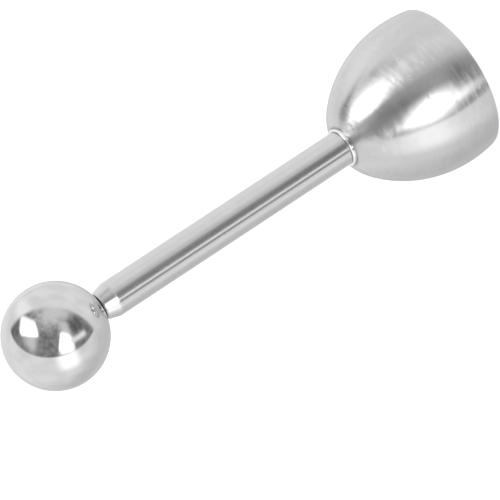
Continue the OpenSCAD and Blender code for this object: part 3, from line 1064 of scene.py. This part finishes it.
class TOPPER_OT_studio(bpy.types.Operator):
    """Set the pale floor, the soft light and the camera"""

    bl_idname = "topper.studio"
    bl_label = "Studio"

    # The metal reflects a room with a pale table and a dark wall. Places in it are bearings and heights
    # in degrees. Bearings go round the table's upright from FRONT, and heights are above its level.
    UPRIGHT = Vector((0.6695, -0.7427, -0.0144)).normalized()
    FRONT = Vector((-0.625, -0.574, 0.529))
    BEYOND, SHADED, FAR = (168, -3), (125, -52), (180, -43)
    # Areas of the room: name, corners in order round it, blur of its edges in degrees, brightness,
    # and where it lies: a shade darkens the wall, the rest are on the wall, the table or another area
    AREAS = (
        ("doorway", ((49, 71), (46, 36), (75, 20), (90, 37)), 8, 0.60, "shade"),
        ("far left corner", ((-145, 5), (-115, 31), (-89, 21), (-106, -9)), 6, 0.60, "shade"),
        ("lit ceiling", ((-119, 70), (-28, 69), (84, 56), (159, 61)), 11.5, 0.80, "wall"),
        ("left window", ((-121, 28), (-87, 56), (-49, 39), (-85, 19)), 4, 1.60, "wall"),
        ("right window", ((25, 47), (40, 38), (34, 1), (5, 4)), 6.5, 2.60, "wall"),
        ("right glow", ((-4, 4), (36, 7), (41, -32), (2, -35)), 10, 1.55, "table"),
        ("over right window", ((37, 70), (61, 57), (42, 32), (23, 47)), 6, 0.78, "wall"),
        ("left glow", ((-152, -1), (-147, 29), (-121, 49), (-119, 20)), 7.5, 1.18, "table"),
        ("under left window", ((-83, 20), (-53, 44), (-41, 17), (-48, 2)), 11.5, 0.78, "wall"),
        ("left lamp", ((-98, 13), (-49, 62), (-24, 39), (-99, 20)), 11.5, 10.8, "left window"),
        ("right lamp", ((17, 49), (27, 18), (22, 10), (0, 15)), 6, 9.5, "right window"),
        ("lit door edge", ((32, 25), (32, 17), (71, 9), (73, 19)), 4.5, 1.12, "wall"),
    )

    def execute(self, context):
        _, finish = chosen()
        self.camera()
        self.floor(finish)
        self.surroundings(finish)
        self.lamp()
        context.scene.view_settings.view_transform = "Standard"
        return {"FINISHED"}

    def camera(self):
        """Stands where the photograph was taken: 22 degrees above the rim's plane, rolled by 123.5."""
        tip, roll = math.radians(22.162), math.radians(123.50)
        distance, shift_right, shift_up = 1.275, 4.22 * MM, -8.42 * MM
        level, rise = Vector((1, 0, 0)), Vector((0, math.sin(tip), math.cos(tip)))
        back = Vector((0, -math.cos(tip), math.sin(tip)))
        right = math.cos(roll) * level - math.sin(roll) * rise
        up = math.sin(roll) * level + math.cos(roll) * rise
        middle = Vector((0, 0, 75 * MM))
        data = bpy.data.cameras.new("studio_camera")
        data.sensor_width = 36
        data.lens = 343.2
        data.clip_start, data.clip_end = 0.05, 50
        made = bpy.data.objects.new("studio_camera", data)
        bpy.context.scene.collection.objects.link(made)
        stand = Matrix((right, up, back)).transposed().to_4x4()
        stand.translation = middle + shift_right * right + shift_up * up + distance * back
        made.matrix_world = stand
        bpy.context.scene.camera = made

    def floor(self, finish):
        """Pale floor just under the rim. It glows for the eye, so it is seen pale, with a shadow."""
        half, gap = 6.0, 0.05 * MM
        matt_share, glow_level = 0.32, 0.76
        verts = [(-half, -half, -gap), (half, -half, -gap), (half, half, -gap), (-half, half, -gap)]
        made = piece("studio_floor", verts, [(0, 1, 2, 3)])
        material = bpy.data.materials.new("pale_floor")
        material.use_nodes = True
        tree = material.node_tree
        tree.nodes.clear()
        out = tree.nodes.new("ShaderNodeOutputMaterial")
        matt = add(tree, "ShaderNodeBsdfDiffuse", Color=rgba(finish.floor, matt_share))
        glow = add(tree, "ShaderNodeEmission", Color=rgba(finish.floor))
        rays = tree.nodes.new("ShaderNodeLightPath").outputs
        seen = sums(tree, "ADD", rays["Is Camera Ray"], rays["Is Glossy Ray"])
        seen = sums(tree, "ADD", seen, rays["Is Transmission Ray"], clamp=True)
        plug(tree, sums(tree, "MULTIPLY", seen, glow_level), glow.inputs["Strength"])
        both = tree.nodes.new("ShaderNodeAddShader")
        tree.links.new(matt.outputs[0], both.inputs[0])
        tree.links.new(glow.outputs[0], both.inputs[1])
        # From below the floor is clear, so the underside can be looked at
        under = tree.nodes.new("ShaderNodeMixShader")
        tree.links.new(tree.nodes.new("ShaderNodeNewGeometry").outputs["Backfacing"], under.inputs[0])
        tree.links.new(both.outputs[0], under.inputs[1])
        tree.links.new(tree.nodes.new("ShaderNodeBsdfTransparent").outputs[0], under.inputs[2])
        tree.links.new(under.outputs[0], out.inputs["Surface"])
        dress(made, material)
        made.visible_glossy = False

    def toward(self, bearing, height):
        """Unit vector to a place in the room."""
        b, h = math.radians(bearing), math.radians(height)
        across = self.UPRIGHT.cross(self.FRONT).normalized()
        level = math.cos(b) * across.cross(self.UPRIGHT) + math.sin(b) * across
        return math.cos(h) * level + math.sin(h) * self.UPRIGHT

    def area(self, tree, direction, corners, blur):
        """Mask of one area, from its corners in order round it."""
        corners = [self.toward(*corner) for corner in corners]
        middle = sum(corners, Vector((0, 0, 0)))
        softness = math.sin(math.radians(blur))
        node = use_group(tree, "studio_window", Direction=direction, Softness=softness)
        for k, (start, end) in enumerate(zip(corners, corners[1:] + corners[:1]), 1):
            edge = start.cross(end).normalized()
            node.inputs[f"Edge {k}"].default_value = edge if edge.dot(middle) > 0 else -edge
        return node.outputs["Lit"]

    def table(self, tree, direction):
        """Brightness of the pale table, which falls into shade on two sides and is a little cloudy."""
        shaded = dotted(tree, direction, self.toward(*self.SHADED))
        shaded = fade(tree, shaded, 0.40, 0.97, 0.98, 0.70)
        far = dotted(tree, direction, self.toward(*self.FAR))
        far = fade(tree, far, 0.91, 0.98, 1.0, 0.82)
        haze = noise(tree, direction, Scale=2.2, Detail=2.0)
        haze = fade(tree, haze, 0.34, 0.66, 0.92, 1.04)
        return sums(tree, "MULTIPLY", sums(tree, "MULTIPLY", shaded, far), haze)

    def wall(self, tree, direction, above):
        """Brightness of the dark wall, which is patchy and lighter overhead."""
        patches = noise(tree, direction, Scale=7.0, Detail=4.0, Roughness=0.65)
        patches = fade(tree, patches, 0.34, 0.66, 0.62, 1.28)
        return sums(tree, "MULTIPLY", fade(tree, above, 0.68, 1.0, 0.29, 0.62), patches)

    def surroundings(self, finish):
        """White all round to the eye. The metal sees the room, with its pale table and dark wall."""
        drop, edge_blur = 0.0124, 0.006
        world = bpy.data.worlds.new("plain_studio")
        world.use_nodes = True
        tree = world.node_tree
        tree.nodes.clear()
        out = tree.nodes.new("ShaderNodeOutputWorld")
        direction = tree.nodes.new("ShaderNodeTexCoord").outputs["Generated"]
        above = sums(tree, "ADD", dotted(tree, direction, self.UPRIGHT), drop)
        over_edge = fade(tree, above, -edge_blur, edge_blur)
        this_side = fade(tree, dotted(tree, direction, self.toward(*self.BEYOND)), 0.31, 0.14)
        table, wall = self.table(tree, direction), self.wall(tree, direction, above)
        masks = {}
        for name, corners, blur, brightness, place in self.AREAS:
            mask = self.area(tree, direction, corners, blur)
            if place in masks:
                mask = sums(tree, "MULTIPLY", mask, masks[place])
            masks[name] = mask
            if place == "shade":
                shade = sums(tree, "MULTIPLY_ADD", mask, brightness - 1, 1.0)
                wall = sums(tree, "MULTIPLY", wall, shade)
            elif place == "table":
                table = between(tree, mask, table, brightness)
            else:
                wall = between(tree, mask, wall, brightness)
        level = between(tree, sums(tree, "MULTIPLY", over_edge, this_side), table, wall)
        rays = tree.nodes.new("ShaderNodeLightPath").outputs
        plain = sums(tree, "ADD", rays["Is Camera Ray"], rays["Is Transmission Ray"], clamp=True)
        background = add(tree, "ShaderNodeBackground", Color=rgba(finish.floor))
        plug(tree, between(tree, plain, level, 1.0), background.inputs["Strength"])
        tree.links.new(background.outputs[0], out.inputs["Surface"])
        bpy.context.scene.world = world

    def lamp(self):
        """One broad soft lamp overhead, which gives the floor its shadow."""
        data = bpy.data.lights.new("overhead_softbox", "AREA")
        data.shape = "RECTANGLE"
        data.size, data.size_y = 1.2, 1.0
        data.energy = 4.0
        made = bpy.data.objects.new("overhead_softbox", data)
        bpy.context.scene.collection.objects.link(made)
        made.location = (0.15, -0.35, 1.5)
        aim = Vector((0, 0, 0.05)) - made.location
        made.rotation_mode = "QUATERNION"
        made.rotation_quaternion = aim.to_track_quat("-Z", "Y")
        made.visible_camera = False
        made.visible_glossy = False


PIECES = (
    TOPPER_OT_effects,
    TOPPER_OT_bell,
    TOPPER_OT_collar,
    TOPPER_OT_tube,
    TOPPER_OT_fastening,
    TOPPER_OT_guide,
    TOPPER_OT_spring,
    TOPPER_OT_plunger,
    TOPPER_OT_ball,
    TOPPER_OT_studio,
)


class VIEW3D_PT_topper(bpy.types.Panel):
    """Lists the topper's pieces and the sizes and finishes they are made to"""

    bl_idname = "VIEW3D_PT_topper"
    bl_label = "Egg topper"
    bl_space_type = "VIEW_3D"
    bl_region_type = "UI"
    bl_category = "Topper"

    def draw(self, context):
        layout = self.layout
        for operator in PIECES:
            layout.operator(operator.bl_idname)
        for settings in (context.scene.topper_sizes, context.scene.topper_finish):
            box = layout.box()
            for name in settings.__annotations__:
                box.prop(settings, name)


CLASSES = (TopperSizes, TopperFinish, *PIECES, VIEW3D_PT_topper)


def register():
    for cls in CLASSES:
        bpy.utils.register_class(cls)
    bpy.types.Scene.topper_sizes = PointerProperty(type=TopperSizes)
    bpy.types.Scene.topper_finish = PointerProperty(type=TopperFinish)


def unregister():
    del bpy.types.Scene.topper_finish
    del bpy.types.Scene.topper_sizes
    for cls in reversed(CLASSES):
        bpy.utils.unregister_class(cls)


def main():
    register()
    bpy.ops.topper.effects()
    bpy.ops.topper.bell()
    bpy.ops.topper.collar()
    bpy.ops.topper.tube()
    bpy.ops.topper.fastening()
    bpy.ops.topper.guide()
    bpy.ops.topper.spring()
    bpy.ops.topper.plunger()
    bpy.ops.topper.ball()
    bpy.ops.topper.studio()


if __name__ == "__main__":
    main()
